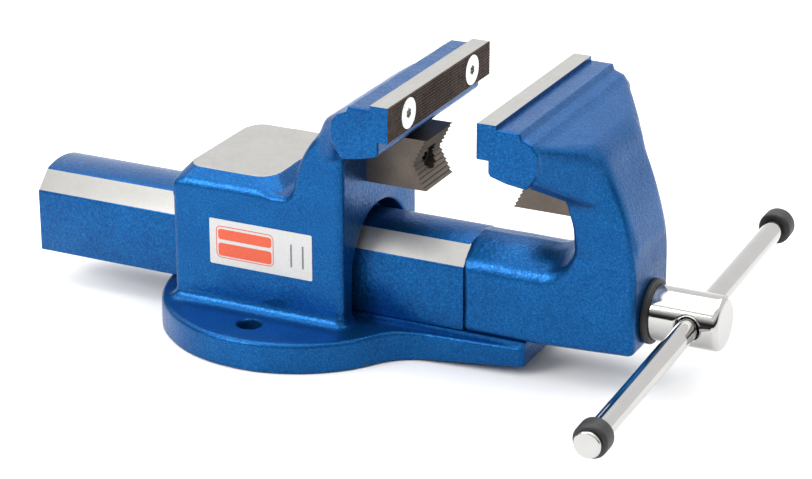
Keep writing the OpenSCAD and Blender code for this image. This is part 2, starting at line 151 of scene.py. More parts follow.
def outline(u, v, points, r=0.0):
    """Any outline, its points anticlockwise, with outer corners rounded to r."""
    points = inset(points, r) if r else points
    nearest, inside = np.float32(1e9), False
    for (u0, v0), (u1, v1) in zip(points, points[1:] + points[:1]):
        eu, ev = u1 - u0, v1 - v0
        t = np.clip(((u - u0) * eu + (v - v0) * ev) / (eu * eu + ev * ev), 0, 1)
        nearest = np.minimum(nearest, (u - u0 - eu * t) ** 2 + (v - v0 - ev * t) ** 2)
        crosses = (v0 > v) != (v1 > v)
        if ev:
            inside = inside ^ (crosses & (u < u0 + (v - v0) * eu / ev))
    return np.where(inside, -1, 1) * np.sqrt(nearest) - r


def block(p, low, high, r=0.0):
    """Box between two corners; p is (x, y, z), and a None leaves that side open."""
    d = None
    for c, lo, hi in zip(p, low, high):
        for side in ([] if lo is None else [lo - c]) + ([] if hi is None else [c - hi]):
            d = side if d is None else both(d, side, r)
    return d


def hull(p, points, r=0.0):
    """Convex solid around a few points and their mirror images in Y."""
    bm = bmesh.new()
    for x, y, z in points:
        for side in (-1, 1):
            bm.verts.new((x, side * y, z))
    bmesh.ops.convex_hull(bm, input=bm.verts)
    planes = {}
    for face in bm.faces:
        n = face.normal
        planes[tuple(round(c, 3) for c in n)] = (n.x, n.y, n.z, n.dot(face.verts[0].co))
    bm.free()
    d = None
    for nx, ny, nz, w in planes.values():
        side = p[0] * nx + p[1] * ny + p[2] * nz - w
        d = side if d is None else both(d, side, r)
    return d


def waves(p, length, seed):
    """Gentle unevenness between about -1 and 1, with the given wavelength."""
    rng = np.random.default_rng(seed)
    total = np.float32(0)
    for _ in range(7):
        way = rng.normal(size=3)
        way *= rng.uniform(0.7, 1.5) * 2 * math.pi / (length * np.linalg.norm(way))
        total = total + np.sin(p[0] * way[0] + p[1] * way[1] + p[2] * way[2] + rng.uniform(0, 6.3))
    return total / 3


# ---- from a field to a mesh ----

def surface_net(shape, low, high, step):
    """Corners and four-sided faces of the surface where shape is zero, mirrored in Y."""
    axes = [np.arange(lo, hi + step, step, dtype=np.float32) for lo, hi in zip(low, high)]
    axes[1] = np.arange(0, high[1] + step, step, dtype=np.float32)
    samples = (axes[0][:, None, None], axes[1][None, :, None], axes[2][None, None, :])
    half = np.asarray(shape(samples), np.float32)
    field = np.concatenate([half[:, :0:-1, :], half], axis=1)
    origin = np.array([axes[0][0], -axes[1][-1], axes[2][0]])
    inside = field < 0
    corners = [(i, j, k) for i in (0, 1) for j in (0, 1) for k in (0, 1)]
    span = [n - 1 for n in field.shape]

    def corner_view(a, c):
        return a[c[0]:c[0] + span[0], c[1]:c[1] + span[1], c[2]:c[2] + span[2]]

    count = sum(corner_view(inside, c).astype(np.int8) for c in corners)
    cells = np.argwhere((count > 0) & (count < 8))
    index = np.full(span, -1, np.int32)
    index[tuple(cells.T)] = np.arange(len(cells))
    value = {c: field[tuple((cells + c).T)] for c in corners}
    total, hits = np.zeros((len(cells), 3)), np.zeros(len(cells))
    for a in corners:
        for axis in range(3):
            if a[axis]:
                continue
            b = tuple(1 if i == axis else a[i] for i in range(3))
            crossed = (value[a] < 0) != (value[b] < 0)
            t = np.where(crossed, value[a] / np.where(crossed, value[a] - value[b], 1), 0)
            point = np.repeat([a], len(cells), 0).astype(float)
            point[:, axis] = t
            total += point * crossed[:, None]
            hits += crossed
    verts = origin + (cells + total / hits[:, None]) * step
    quads = []
    for axis in range(3):
        u, v = (axis + 1) % 3, (axis + 2) % 3
        first = np.take(inside, range(field.shape[axis] - 1), axis)
        second = np.take(inside, range(1, field.shape[axis]), axis)
        edges = np.argwhere(first != second)
        edges = edges[(edges[:, u] > 0) & (edges[:, v] > 0)]
        edges = edges[(edges[:, u] < span[u]) & (edges[:, v] < span[v])]
        leaves = first[tuple(edges.T)]
        ring = []
        for du, dv in ((1, 1), (0, 1), (0, 0), (1, 0)):
            cell = edges.copy()
            cell[:, u] -= du
            cell[:, v] -= dv
            ring.append(index[tuple(cell.T)])
        ring = np.stack(ring, 1)
        ring[~leaves] = ring[~leaves][:, ::-1]
        quads.append(ring)
    return verts, np.concatenate(quads)


def slope(shape, p, h=0.02):
    """Gradient of the field at the points p."""
    sides = []
    for axis in range(3):
        ahead, behind = p.copy(), p.copy()
        ahead[:, axis] += h
        behind[:, axis] -= h
        sides.append((shape(ahead.T) - shape(behind.T)) / (2 * h))
    return np.stack(sides, 1)


def settle(shape, p, rounds=2, reach=0.6):
    """Moves the points onto the surface."""
    for _ in range(rounds):
        g = slope(shape, p)
        shift = shape(p.T)[:, None] * g / np.maximum((g * g).sum(1), 0.2)[:, None]
        p = p - np.clip(shift, -reach, reach)
    return p


def mesh_object(name, verts, faces):
    """Object from corners in millimetres and faces of one size."""
    faces = np.asarray(faces, np.int32)
    mesh = bpy.data.meshes.new(name)
    mesh.vertices.add(len(verts))
    mesh.vertices.foreach_set("co", (np.asarray(verts, float) * MM).ravel())
    mesh.loops.add(faces.size)
    mesh.loops.foreach_set("vertex_index", faces.ravel())
    mesh.polygons.add(len(faces))
    mesh.polygons.foreach_set("loop_start", np.arange(len(faces), dtype=np.int32) * faces.shape[1])
    mesh.update(calc_edges=True)
    mesh.validate()
    obj = bpy.data.objects.new(name, mesh)
    bpy.context.scene.collection.objects.link(obj)
    return obj


def apply_modifiers(obj):
    depsgraph = bpy.context.evaluated_depsgraph_get()
    obj.data = bpy.data.meshes.new_from_object(obj.evaluated_get(depsgraph))
    obj.modifiers.clear()


def smooth(obj, angle=35):
    obj.data.polygons.foreach_set("use_smooth", [True] * len(obj.data.polygons))
    obj.data.set_sharp_from_angle(angle=math.radians(angle))


def sculpted(name, shape, low, high, step, keep=1.0, angle=42):
    """Object whose surface is where shape is zero, thinned to the share keep of its faces."""
    verts, quads = surface_net(shape, low, high, step)
    obj = mesh_object(name, settle(shape, verts, reach=0.6 * step), quads)
    if keep < 1:
        thin = obj.modifiers.new("thin", "DECIMATE")
        thin.ratio = keep
        apply_modifiers(obj)
        co = np.empty(len(obj.data.vertices) * 3, np.float32)
        obj.data.vertices.foreach_get("co", co)
        co = settle(shape, co.reshape(-1, 3).astype(float) / MM, 1, 0.3 * step)
        obj.data.vertices.foreach_set("co", (co * MM).ravel())
    smooth(obj, angle)
    return obj


# ---- shapes that both jaws have ----

def head_outline():
    """Jaw head behind the clamping face at 0, as distances behind it and heights, without the plate."""
    back = PLATE_T + LEDGE
    chin = 6.7
    seat_x, seat_z = -PLATE_T + SEAT_LAP, JAW_TOP - PLATE_H + SEAT_LAP
    return [(-PLATE_T - 5, HEAD_Z0 + 1.6), (-chin - 1.3, HEAD_Z0 + 3.9), (-chin, HEAD_Z0 + 5.7),
            (-chin, seat_z), (seat_x, seat_z), (seat_x, JAW_TOP - LEDGE_DROP), (-back, JAW_TOP - LEDGE_DROP),
            (-back - 1.2, JAW_TOP - 5.3), (-back - 6.5, JAW_TOP - 7.4), (-back - 10, JAW_TOP - 12),
            (-back - 10.5, JAW_TOP - 17), (-back - 9, JAW_TOP - 24), (-back - 3.8, HEAD_Z0)]


def head(u, y, z):
    """u runs from the clamping face, and is negative behind it."""
    return both(outline(u, z, head_outline(), 0.8), y - JAW_HALF + 0.1, 1.0)


def jaw_cuts(u, p, d):
    """Seats of the plate and the pipe jaw."""
    x, y, z = p
    d = without(d, both(SEAT_LAP - PLATE_T - u, JAW_TOP - PLATE_H + SEAT_LAP - z))
    seat = both(both(-REACH - u, y - PIPE_HI[1] - 0.3), abs(z - (PIPE_LO[2] + PIPE_HI[2]) / 2) - 14.3)
    return without(d, seat)


def slide_top(y, z, g, r=0.0):
    """Bands and crown of the slide, grown by g."""
    band = (y - SLIDE_HALF - g + z - BAND_Z + BAND_W - g / 2) / math.sqrt(2)
    crown_slope = (SLIDE_Z1 - BAND_Z) / BAND_Y
    crown = (z - SLIDE_Z1 - g + y * crown_slope) / math.hypot(1, crown_slope)
    return both(band, crown, r)


# ---- fixed body ----

def flange_plan(x, y):
    lobe = np.hypot(x - LOBE_X, np.maximum(y - LOBE_Y, 0)) - LOBE_R
    side = (y - TONGUE_HALF - (TONGUE_L - x) * TAPER) / math.hypot(1, TAPER)
    tongue = both(both(side, x - TONGUE_L, 3), LOBE_X - x)
    gap = LOBE_R + HOLLOW_R
    reach = TONGUE_HALF + (TONGUE_L - LOBE_X) * TAPER + HOLLOW_R * math.hypot(1, TAPER) - LOBE_Y
    k = 1 + TAPER * TAPER
    u = (reach * TAPER + math.sqrt((reach * TAPER) ** 2 - k * (reach * reach - gap * gap))) / k
    hollow_x, hollow_y = LOBE_X + u, reach - TAPER * u + LOBE_Y
    fill = outline(x, y, [(LOBE_X, 0), (hollow_x, 0), (hollow_x + 2, TONGUE_HALF), (hollow_x, hollow_y),
                          (LOBE_X, LOBE_Y)])
    fill = without(fill, np.hypot(x - hollow_x, y - hollow_y) - HOLLOW_R)
    return either(either(lobe, tongue), fill)


def anvil(x, y, z):
    """Raised block on the walls, its sides sloping down to their edges."""
    rise = ANVIL_TOP - WALL_TOP
    d = WALL_TOP - 12 - z
    for out, run in ((x - BODY_X0 - 5 - ANVIL_L, 7), (BODY_X0 + 5 - x, 5), (y - ANVIL_HALF, 8)):
        d = both(d, (out * rise + (z - ANVIL_TOP) * run) / math.hypot(rise, run), 7)
    return d


def body_mass(x, y, z):
    """Walls and neck as one outline seen from the side, cut to the body's width, with the anvil on top."""
    shoulder_r = 54
    cx, cz = x - (BODY_X1 - 29.5 + shoulder_r), z - WALL_TOP
    back = np.where(cz < -cx, np.hypot(cx, cz), (cz - cx) / math.sqrt(2)) - shoulder_r
    neck = both(both(back, z - JAW_TOP + 5.2, 2), WALL_TOP - 20 - z)
    upright = either(z - WALL_TOP, neck, 7)
    top = both(both(upright, x - BODY_X1, 2.5), 2 - z)
    walls = both(both(top, y - BODY_HALF, 4), BODY_X0 - x, 4)
    crown = both(both(anvil(x, y, z), y - BODY_HALF, 3), BODY_X0 - x, 3)
    return np.minimum(walls, crown)


def fixed_casting(p):
    x, y, z = p
    y = abs(y)
    lump = waves((x, y, z), 26, 3) * 0.10
    base = both(both(flange_plan(x, y) + lump, z - FLANGE_T, 2.6), -z, 0.8)
    web = hull((x, y, z), [
        (BODY_X1 + 5, JAW_HALF - 3.5, HEAD_Z0 + 5), (BODY_X1 + 5, JAW_HALF - 3.5, HEAD_Z0 + 19),
        (BODY_X1 - 12, BODY_HALF - 4, HEAD_Z0 - 8), (BODY_X1 - 1.5, BODY_HALF - 4, HEAD_Z0 - 8),
        (BODY_X1 - 12, BODY_HALF - 4, HEAD_Z0 + 12)], 3)
    d = either(body_mass(x, y, z), web, 7)
    d = either(d, head(x - JAW_X, y, z), 2.5) + lump
    d = either(d, base, 6)
    d = without(d, both(ANVIL_TOP - z, x - BODY_X1 + 32), 0.3)
    d = jaw_cuts(x - JAW_X, (x, y, z), d)
    # passage for the slide: guide lands, a cored space between them and an arch at its front
    land, arch_d, arch_half = 20, 14, 33.5
    arch_top = SLIDE_Z1 + 6
    passage = both(both(y - SLIDE_HALF - PLAY, slide_top(y, z, PLAY)), SLIDE_Z0 - PLAY - z)
    core = block((x, y, z), (BODY_X0 + land, None, SLIDE_Z0),
                 (BODY_X1 - land - arch_d, BODY_HALF - 9, SLIDE_Z1 + 7), 3)
    arch_z = z - arch_top + arch_half
    arch = either(np.hypot(y, arch_z) - arch_half, both(y - arch_half, arch_z))
    arch = both(both(arch, FLANGE_T - z, 2), BODY_X1 - arch_d - x, 2)
    d = without(without(without(d, passage, 0.8), core), arch, 2)
    pad = block((x, y, z), (BODY_X0, None, 1), (TONGUE_L, SLIDE_HALF, SLIDE_Z0 - 0.2), 0.6)
    d = either(d, pad, 0.8)
    lifted = z - np.maximum(x - TONGUE_L + 70, 0) * TONGUE_LIFT / 70
    d = both(d, -lifted, 0.6)
    return without(d, np.hypot(x, y - BOLT_Y) - BOLT_R, 1.2)


# ---- moving jaw ----

def moving_casting(p):
    x, y, z = p
    y = abs(y)
    lump = waves((x, y, z), 24, 8) * 0.12
    # the round throat: its lower quarter is the fillet between the slide's crown and the neck's upright back
    throat_r = 20
    mid_z = SLIDE_Z1 - 1 + throat_r
    round_top = np.hypot(x - THROAT_X + throat_r, z - mid_z) - throat_r
    hollow = np.where(z < mid_z, x - THROAT_X, round_top)
    hollow = either(hollow, both(x - THROAT_X + throat_r, z - mid_z - throat_r))
    root = both(slide_top(y, z, ROOT_PROUD, 5), ROOT_X - x, 1.2)
    d = either(root, without(FACE_X + 16 - x, hollow), throat_r - 1)
    front = convex(x, z, [
        (ROOT_X - 40, SLIDE_Z0 - 8), (FRONT_X, SLIDE_Z0 - 8), (FRONT_X, HEAD_Z0 - 28),
        (FRONT_X - 6, HEAD_Z0 - 13), (FRONT_X - 19, HEAD_Z0 + 10), (FACE_X + 26, HEAD_Z0 + 20),
        (ROOT_X - 40, HEAD_Z0 + 20)], 12)
    d = both(both(d, front, 2), y - SLIDE_HALF - SIDE_STEP, 3.5)
    back_x = FACE_X + PLATE_T + LEDGE
    # webs that widen the neck to the full head: one plane runs from the ledge down to the neck
    upper = hull((x, y, z), [
        (back_x - 5, JAW_HALF - 2, JAW_TOP - 2.8), (back_x + 10, JAW_HALF - 2, JAW_TOP - 8.8),
        (back_x + 10, JAW_HALF - 2, HEAD_Z0 + 4), (back_x - 5, JAW_HALF - 2, HEAD_Z0 + 1),
        (back_x + 27, SLIDE_HALF + 2, HEAD_Z0 + 15), (back_x + 33, SLIDE_HALF + 2, HEAD_Z0 + 4),
        (back_x + 33, SLIDE_HALF - 2, HEAD_Z0 - 22), (back_x + 22, SLIDE_HALF - 2, HEAD_Z0 - 22)], 3)
    lower = hull((x, y, z), [
        (back_x + 10, SLIDE_HALF + 10, HEAD_Z0 - 10), (back_x + 29, SLIDE_HALF + 6, HEAD_Z0 - 8),
        (back_x + 27, SLIDE_HALF + 6, HEAD_Z0 + 12), (back_x + 10, SLIDE_HALF + 12, HEAD_Z0 + 12),
        (THROAT_X - 4, SLIDE_HALF + 4, HEAD_Z0 - 22), (THROAT_X + 1, SLIDE_HALF - 1, HEAD_Z0 - 48),
        (FRONT_X - 1, SLIDE_HALF - 1, HEAD_Z0 - 44), (FRONT_X - 7, SLIDE_HALF - 1, HEAD_Z0 - 17)], 5)
    webs = without(either(upper, lower, 5), hollow, 2.5)
    d = either(d, webs, 4)
    seat = block((x, y, z), (FACE_X + REACH, None, PIPE_LO[2] - 1),
                 (FACE_X + REACH + 8, PIPE_HI[1] + 1, PIPE_HI[2] + 1), 1)
    d = either(d, seat, 1)
    d = either(d, head(FACE_X - x, y, z), 2) + lump
    d = jaw_cuts(FACE_X - x, (x, y, z), d)
    sole = z - SLIDE_Z0 - np.maximum(x - FACE_X - 20, 0) * 2.6 / (FRONT_X - FACE_X - 20)
    d = both(d, -sole, 3)
    d = without(d, block((x, y, z), (None, None, None), (WALL_IN, CHANNEL_HALF, CHANNEL_TOP)), 0.8)
    return without(d, np.hypot(y, z - AXIS_Z) - BUSH_R - 0.05)


# ---- hand-built meshes ----

def solid(name, profile, plane, start, end):
    """Anticlockwise profile in the plane "xz" or "yz" as a closed prism from start to end across it."""
    def place(a, b, c):
        return (a, c, b) if plane == "xz" else (c, a, b)

    bm = bmesh.new()
    rings = [[bm.verts.new(Vector(place(a, b, c)) * MM) for a, b in profile] for c in (start, end)]
    n = len(profile)
    for i in range(n):
        bm.faces.new((rings[0][i], rings[0][(i + 1) % n], rings[1][(i + 1) % n], rings[1][i]))
    bm.faces.new(rings[0])
    bm.faces.new(rings[1][::-1])
    bmesh.ops.recalc_face_normals(bm, faces=bm.faces)
    return finish_mesh(name, bm)


def finish_mesh(name, bm):
    mesh = bpy.data.meshes.new(name)
    bm.to_mesh(mesh)
    bm.free()
    obj = bpy.data.objects.new(name, mesh)
    bpy.context.scene.collection.objects.link(obj)
    return obj


def bevelled(obj, width, segments=2, angle=30):
    bevel = obj.modifiers.new("bevel", "BEVEL")
    bevel.width, bevel.segments, bevel.angle_limit = width * MM, segments, math.radians(angle)
    apply_modifiers(obj)
    smooth(obj, 30)
    return obj


def drilled(obj, *tools):
    for tool in tools:
        cut = obj.modifiers.new("cut", "BOOLEAN")
        cut.operation, cut.solver, cut.object = "DIFFERENCE", "EXACT", tool
    apply_modifiers(obj)
    for tool in tools:
        bpy.data.objects.remove(tool)
    return obj


def arc(cx, cy, r, start, end, steps):
    """Points on a circle, angles in degrees."""
    turn = [math.radians(start + (end - start) * i / steps) for i in range(steps + 1)]
    return [(cx + r * math.cos(a), cy + r * math.sin(a)) for a in turn]


def turned(name, profile, origin, axis, steps=96):
    """Solid of revolution; the profile is distances along the axis and radii, from one end to the other."""
    axis = Vector(axis).normalized()
    side = axis.orthogonal().normalized()
    up = axis.cross(side)
    bm = bmesh.new()
    rings = []
    for h, r in profile:
        centre = Vector(origin) + axis * h
        if r == 0:
            rings.append([bm.verts.new(centre * MM)])
            continue
        angles = [2 * math.pi * k / steps for k in range(steps)]
        ways = [side * math.cos(a) + up * math.sin(a) for a in angles]
        rings.append([bm.verts.new((centre + way * r) * MM) for way in ways])
    for one, two in zip(rings, rings[1:]):
        for k in range(steps):
            m = (k + 1) % steps
            corners = [one[k % len(one)], one[m % len(one)], two[m % len(two)], two[k % len(two)]]
            corners = list(dict.fromkeys(corners))
            if len(corners) > 2:
                bm.faces.new(corners)
    bmesh.ops.recalc_face_normals(bm, faces=bm.faces)
    obj = finish_mesh(name, bm)
    smooth(obj, 32)
    return obj


def jaw_plate(name, face_x, out):
    """Plate with a field of small pyramids; out is +1 where the face looks along +X."""
    pitch, depth, edge = 1.7, 0.55, 0.4
    crest = 0.04        # how far the points stop short of the clamping plane, so that closed jaws stay apart
    bm = bmesh.new()
    ny, nz = round((2 * JAW_HALF - 2 * edge) / pitch), round((PLATE_H - 2 * edge) / pitch)
    ys = np.linspace(-JAW_HALF + edge, JAW_HALF - edge, ny + 1)
    zs = np.linspace(JAW_TOP - PLATE_H + edge, JAW_TOP - edge, nz + 1)

    def corner(x, y, z):
        return bm.verts.new(Vector((face_x - out * x, y, z)) * MM)

    grid = [[corner(depth, y, z) for z in zs] for y in ys]
    for i in range(ny):
        for k in range(nz):
            top = corner(crest, (ys[i] + ys[i + 1]) / 2, (zs[k] + zs[k + 1]) / 2)
            ring = [grid[i][k], grid[i + 1][k], grid[i + 1][k + 1], grid[i][k + 1]]
            for a, b in zip(ring, ring[1:] + ring[:1]):
                bm.faces.new((a, b, top))
    rim = [grid[i][0] for i in range(ny + 1)] + [grid[ny][k] for k in range(1, nz + 1)]
    rim += [grid[i][nz] for i in range(ny - 1, -1, -1)] + [grid[0][k] for k in range(nz - 1, 0, -1)]

    def spread(v, x):
        y, z = v.co.y / MM, v.co.z / MM
        middle = JAW_TOP - PLATE_H / 2
        grow_y = edge if abs(abs(y) - JAW_HALF + edge) < 0.01 else 0
        grow_z = edge if abs(abs(z - middle) - PLATE_H / 2 + edge) < 0.01 else 0
        return corner(x, y + math.copysign(grow_y, y), z + math.copysign(grow_z, z - middle))

    front = [spread(v, depth + edge) for v in rim]
    back = [spread(v, PLATE_T) for v in rim]
    n = len(rim)
    for one, two in ((rim, front), (front, back)):
        for i in range(n):
            j = (i + 1) % n
            bm.faces.new((one[i], one[j], two[j], two[i]))
    bm.faces.new(back)
    bmesh.ops.recalc_face_normals(bm, faces=bm.faces)
    obj = finish_mesh(name, bm)
    seat_r, hole_r = 8.6, 4.4
    seat = [(-1, 0), (-1, seat_r), (1, seat_r), (4.9, hole_r), (PLATE_T + 1, hole_r), (PLATE_T + 1, 0)]
    tools = []
    for side in (-1, 1):
        place = (face_x, side * PLATE_SCREW_Y, JAW_TOP - PLATE_H / 2)
        tools.append(turned("seat", seat, place, (-out, 0, 0), 64))
    drilled(obj, *tools)
    obj.data.materials.clear()
    for m in (BLACK_PLATE, GROUND, PAINT):
        obj.data.materials.append(m)
    for face in obj.data.polygons:
        flat = max(abs(c) for c in face.normal) > 0.99
        face.material_index = 0
        if flat and face.normal.z > 0.9:
            face.material_index = 1
        elif flat and (out * face.normal.x < -0.9 or abs(face.center.y) > (JAW_HALF - 0.2) * MM):
            face.material_index = 2
    return obj


def pipe_jaw(name, face_x, out):
    """Block with a V of sharp teeth across it; the profile is distances behind the clamping face."""
    middle, half_h, half_w = (PIPE_LO[2] + PIPE_HI[2]) / 2, 14, PIPE_HI[1]
    teeth, depth, bite = 6, 7, 1.3
    v = []
    for side in (-1, 1):
        points = []
        for k in range(teeth):
            for inner, share in ((False, k), (True, k + 0.62)):
                along = share / teeth
                points.append((1 + depth * along + (bite if inner else 0), side * half_h * (1 - along)))
        v.append(points)
    face = v[0] + [(1 + depth, 0)] + v[1][::-1]
    profile = [(REACH, half_h), (REACH, -half_h)] + face
    profile = [(face_x - out * d, middle + h) for d, h in profile]
    obj = solid(name, profile, "xz", -half_w, half_w)
    wide_r, hole_r, step = 6.8, 4.2, 18
    hole = [(-1, 0), (-1, wide_r), (step, wide_r), (step, hole_r), (REACH + 1, hole_r), (REACH + 1, 0)]
    drilled(obj, turned("hole", hole, (face_x, 0, middle), (-out, 0, 0), 64))
    bevelled(obj, 0.3, 1, 40)
    return obj


def slide_bar():
    """Machined length of the slide, with its channel open underneath and at the rear."""
    crown_r = (BAND_Y ** 2 + (SLIDE_Z1 - BAND_Z) ** 2) / (2 * (SLIDE_Z1 - BAND_Z))
    swing = math.degrees(math.asin(BAND_Y / crown_r))
    crown = arc(0, SLIDE_Z1 - crown_r, crown_r, 90 - swing, 90 + swing, 8)
    right = [(CHANNEL_HALF, SLIDE_Z0), (SLIDE_HALF, SLIDE_Z0), (SLIDE_HALF, BAND_Z - BAND_W)]
    left = [(-y, z) for y, z in right[::-1]]
    fillet = 4
    channel = arc(-CHANNEL_HALF + fillet, CHANNEL_TOP - fillet, fillet, 180, 90, 4)
    channel += arc(CHANNEL_HALF - fillet, CHANNEL_TOP - fillet, fillet, 90, 0, 4)
    obj = solid("slide_bar", right + crown + left + channel, "yz", SLIDE_X0, ROOT_X + 0.4)
    bevelled(obj, 0.7, 2, 20)
    for m in (PAINT, GROUND):
        obj.data.materials.append(m)
    for face in obj.data.polygons:
        y, z = abs(face.center.y) / MM, face.center.z / MM
        sloping = abs(face.normal.z - 0.707) < 0.06
        on_band = BAND_Y - 0.6 < y < SLIDE_HALF + 0.2 and z > BAND_Z - BAND_W - 0.6
        face.material_index = 1 if sloping and on_band else 0
    return obj


def thread(name, x0, x1, r, pitch):
    """Trapezoidal right-hand thread along the spindle axis."""
    steps, rounds = 48, int((x1 - x0) / pitch)
    root, chamfer = r - 2.6, r - 0.15
    form = [(0.0, root), (0.12, root), (0.30, chamfer), (0.34, r), (0.60, r), (0.64, chamfer), (0.82, root)]
    rows, radii = [], []
    for turn in range(rounds):
        for share, radius in form:
            rows.append((turn + share) * pitch)
            radii.append(radius)
    rows, radii = np.array(rows), np.array(radii)
    verts = []
    for k in range(steps):
        a = 2 * math.pi * k / steps
        x = np.clip(x0 + rows - pitch + pitch * k / steps, x0, x1)
        verts.append(np.stack([x, -radii * math.sin(a), AXIS_Z + radii * math.cos(a)], 1))
    verts = np.concatenate(verts)
    n = len(rows)
    faces = []
    for k in range(steps):
        ahead = (k + 1) % steps
        lead = len(form) if ahead == 0 else 0
        for i in range(n - 1 - lead):
            faces.append((k * n + i + lead, k * n + i + 1 + lead, ahead * n + i + 1, ahead * n + i))
    obj = mesh_object(name, verts, np.array(faces)[:, ::-1])
    smooth(obj, 40)
    return obj


# ---- materials ----

def material(name):
    mat = bpy.data.materials.new(name)
    mat.use_nodes = True
    return mat, mat.node_tree.nodes, mat.node_tree.links, mat.node_tree.nodes["Principled BSDF"]


def coordinates(nodes, links, stretch=(1, 1, 1)):
    place = nodes.new("ShaderNodeTexCoord")
    mapping = nodes.new("ShaderNodeMapping")
    mapping.inputs["Scale"].default_value = stretch
    links.new(place.outputs["Object"], mapping.inputs["Vector"])
    return mapping.outputs["Vector"]


def noise(nodes, links, vector, size_mm, detail=2.0, roughness=0.5):
    """Noise with features of about size_mm."""
    tex = nodes.new("ShaderNodeTexNoise")
    tex.inputs["Scale"].default_value = 1000 / size_mm
    tex.inputs["Detail"].default_value = detail
    tex.inputs["Roughness"].default_value = roughness
    links.new(vector, tex.inputs["Vector"])
    return tex.outputs["Fac"]


def ramp(nodes, links, value, *stops):
    node = nodes.new("ShaderNodeValToRGB")
    elements = node.color_ramp.elements
    while len(elements) < len(stops):
        elements.new(0.5)
    for element, (at, colour) in zip(elements, stops):
        element.position = at
        element.color = (*colour, 1) if isinstance(colour, tuple) else (colour, colour, colour, 1)
    links.new(value, node.inputs["Fac"])
    return node.outputs["Color"]


def bump(nodes, links, bsdf, height, depth_mm, strength=1.0):
    """Adds relief on top of any that the shader already has."""
    node = nodes.new("ShaderNodeBump")
    node.inputs["Strength"].default_value = strength
    node.inputs["Distance"].default_value = depth_mm * MM
    links.new(height, node.inputs["Height"])
    if bsdf.inputs["Normal"].is_linked:
        links.new(bsdf.inputs["Normal"].links[0].from_socket, node.inputs["Normal"])
    links.new(node.outputs["Normal"], bsdf.inputs["Normal"])


def hammered_paint():
    """Metallic blue enamel over rough casting: orange peel, flake and slow changes of tone."""
    mat, nodes, links, bsdf = material("paint_blue")
    at = coordinates(nodes, links)
    cells = nodes.new("ShaderNodeTexVoronoi")
    cells.feature = "SMOOTH_F1"
    cells.inputs["Scale"].default_value = 1000 / 2.1
    cells.inputs["Smoothness"].default_value = 0.6
    links.new(at, cells.inputs["Vector"])
    flake = noise(nodes, links, at, 0.9, 2, 0.6)
    tone = noise(nodes, links, at, 22, 3, 0.55)
    colour = ramp(nodes, links, flake, (0.30, (0.0025, 0.052, 0.185)), (0.52, (0.004, 0.080, 0.250)),
                  (0.72, (0.008, 0.125, 0.340)))
    shade = ramp(nodes, links, tone, (0.3, (0.80, 0.82, 0.86)), (0.7, (1.0, 1.0, 1.0)))
    mix = nodes.new("ShaderNodeMix")
    mix.data_type, mix.blend_type = "RGBA", "MULTIPLY"
    mix.inputs["Factor"].default_value = 1
    links.new(colour, mix.inputs["A"])
    links.new(shade, mix.inputs["B"])
    links.new(mix.outputs["Result"], bsdf.inputs["Base Color"])
    links.new(ramp(nodes, links, flake, (0.3, 0.44), (0.7, 0.28)), bsdf.inputs["Roughness"])
    bsdf.inputs["Metallic"].default_value = 0.78
    bsdf.inputs["Specular IOR Level"].default_value = 0.15
    bsdf.inputs["Coat Weight"].default_value = 0.06
    bsdf.inputs["Coat Roughness"].default_value = 0.14
    bump(nodes, links, bsdf, cells.outputs["Distance"], 0.22, 0.5)
    bump(nodes, links, bsdf, noise(nodes, links, at, 6, 3, 0.6), 0.35, 0.5)
    return mat


def steel(name, colour, dark, roughness, stretch=(1, 1, 1), size=0.6, metallic=1.0, relief=0.03):
    """Bare metal whose tone, gloss and relief follow one grain; stretch draws the grain out along an axis."""
    mat, nodes, links, bsdf = material(name)
    grain = noise(nodes, links, coordinates(nodes, links, stretch), size, 4, 0.6)
    stain = noise(nodes, links, coordinates(nodes, links), 14, 3, 0.6)
    both_tones = nodes.new("ShaderNodeMix")
    both_tones.inputs["Factor"].default_value = 0.4
    links.new(grain, both_tones.inputs["A"])
    links.new(stain, both_tones.inputs["B"])
    tone = both_tones.outputs["Result"]
    links.new(ramp(nodes, links, tone, (0.35, dark), (0.65, colour)), bsdf.inputs["Base Color"])
    gloss = ramp(nodes, links, tone, (0.3, roughness * 1.25), (0.7, roughness * 0.8))
    links.new(gloss, bsdf.inputs["Roughness"])
    bsdf.inputs["Metallic"].default_value = metallic
    bump(nodes, links, bsdf, grain, relief, 0.5)
    return mat


def rubber():
    mat, nodes, links, bsdf = material("black_rubber")
    grain = noise(nodes, links, coordinates(nodes, links), 0.5, 3, 0.6)
    links.new(ramp(nodes, links, grain, (0.3, 0.006), (0.7, 0.014)), bsdf.inputs["Base Color"])
    links.new(ramp(nodes, links, grain, (0.3, 0.60), (0.7, 0.42)), bsdf.inputs["Roughness"])
    bump(nodes, links, bsdf, grain, 0.06, 0.5)
    return mat


def printed(name, light, dark):
    mat, nodes, links, bsdf = material(name)
    grain = noise(nodes, links, coordinates(nodes, links), 1.2, 3, 0.6)
    links.new(ramp(nodes, links, grain, (0.3, dark), (0.7, light)), bsdf.inputs["Base Color"])
    bsdf.inputs["Roughness"].default_value = 0.35
    bump(nodes, links, bsdf, grain, 0.02, 0.3)
    return mat


